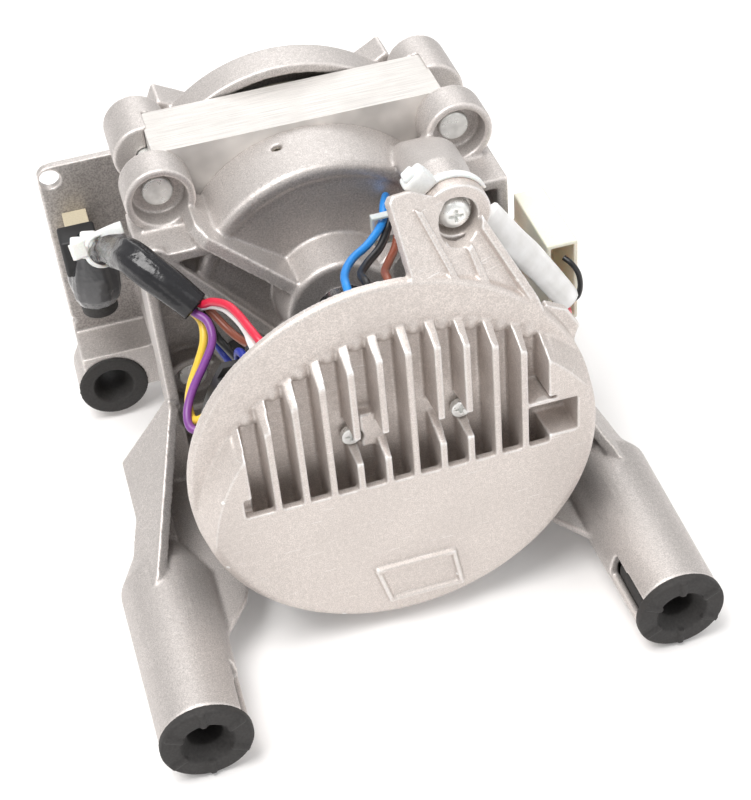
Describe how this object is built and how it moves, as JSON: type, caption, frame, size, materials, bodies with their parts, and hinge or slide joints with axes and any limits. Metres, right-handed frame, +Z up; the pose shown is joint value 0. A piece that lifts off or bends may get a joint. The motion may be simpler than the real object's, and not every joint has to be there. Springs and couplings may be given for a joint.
{
  "type": "washing machine motor",
  "caption": "Brushless drive motor with a square stator, cast end shields, carrying tubes with rubber bushes and a finned electronics cover.",
  "frame": {"origin": "on the shaft axis in the belt plane of the rear pulley", "axes": "+X to the right seen from the electronics cover, +Y along the shaft from the cover to the pulley, +Z up"},
  "size_m": [0.1988, 0.252, 0.169],
  "materials": {
    "cast": "fine-grained die casting, matt",
    "lamination": "stacked sheets, fine lines",
    "insulator": "matt moulded plastic",
    "copper": "enamelled copper wire",
    "magnet": "sintered, dark",
    "zinc_steel": "zinc plated",
    "bearing_steel": "ground and polished",
    "pulley_steel": "turned, satin",
    "rubber": "moulded rubber, matt",
    "black_plastic": "moulded plastic, fine grain",
    "black_sleeve": "soft glossy sleeve",
    "board": "glass fibre board",
    "capacitor": "shrink sleeve",
    "thermal_pad": "soft pad",
    "cream_plastic": "moulded plastic",
    "beige_plastic": "moulded plastic",
    "white_plastic": "nylon and soft white insulation",
    "red": "wire insulation",
    "brown": "wire insulation",
    "yellow": "wire insulation",
    "purple": "wire insulation",
    "dark_blue": "wire insulation",
    "blue": "wire insulation"
  },
  "bodies": {
    "housing": {"front_end_shield": "cast", "rear_end_shield": "cast", "stator_core": "lamination", "stator_insulators": "insulator", "stator_windings": "copper", "through_bolts": "zinc_steel", "through_bolt_nuts": "zinc_steel", "wave_washer": "bearing_steel", "front_bearing_outer_race": "bearing_steel", "front_bearing_balls": "bearing_steel", "front_bearing_seals": "rubber", "rear_bearing_outer_race": "bearing_steel", "rear_bearing_balls": "bearing_steel", "rear_bearing_seals": "rubber", "electronics_cover": "cast", "electronics_tray": "black_plastic", "cover_seal": "rubber", "control_board": "board", "power_capacitors": "capacitor", "power_module": "black_plastic", "thermal_pad": "thermal_pad", "board_terminals": "cream_plastic", "module_screws": "zinc_steel", "arm_screw": "zinc_steel", "arm_washer": "zinc_steel", "side_screws": "zinc_steel", "earth_clip": "zinc_steel", "front_left_bush": "rubber", "front_right_bush": "rubber", "rear_left_bush": "rubber", "rear_right_bush": "rubber", "harness_connector": "beige_plastic", "connector_boot": "black_plastic", "boot_grommet": "rubber", "harness_sleeve": "black_sleeve", "wire_red": "red", "wire_white": "white_plastic", "wire_brown": "brown", "wire_yellow": "yellow", "wire_purple": "purple", "wire_black": "black_sleeve", "wire_blue": "dark_blue", "lead_blue": "blue", "lead_black": "black_sleeve", "lead_brown": "brown", "loom_tie": "white_plastic", "arm_tie": "white_plastic", "lead_tie": "white_plastic", "plug_housing": "cream_plastic", "plug_sleeve": "white_plastic", "sensor_leads": "black_sleeve"},
    "rotor": {"shaft": "bearing_steel", "rotor_core": "lamination", "rotor_magnets": "magnet", "rotor_end_rings": "insulator", "front_bearing_inner_race": "bearing_steel", "rear_bearing_inner_race": "bearing_steel", "bearing_circlip": "bearing_steel", "drive_pulley": "pulley_steel", "pulley_nut": "pulley_steel"}
  },
  "joints": [
    {"name": "rotor_spin", "type": "hinge", "parent": "housing", "child": "rotor", "pos_m": [0, 0, 0], "axis": [0, 1, 0], "continuous": true}
  ]
}
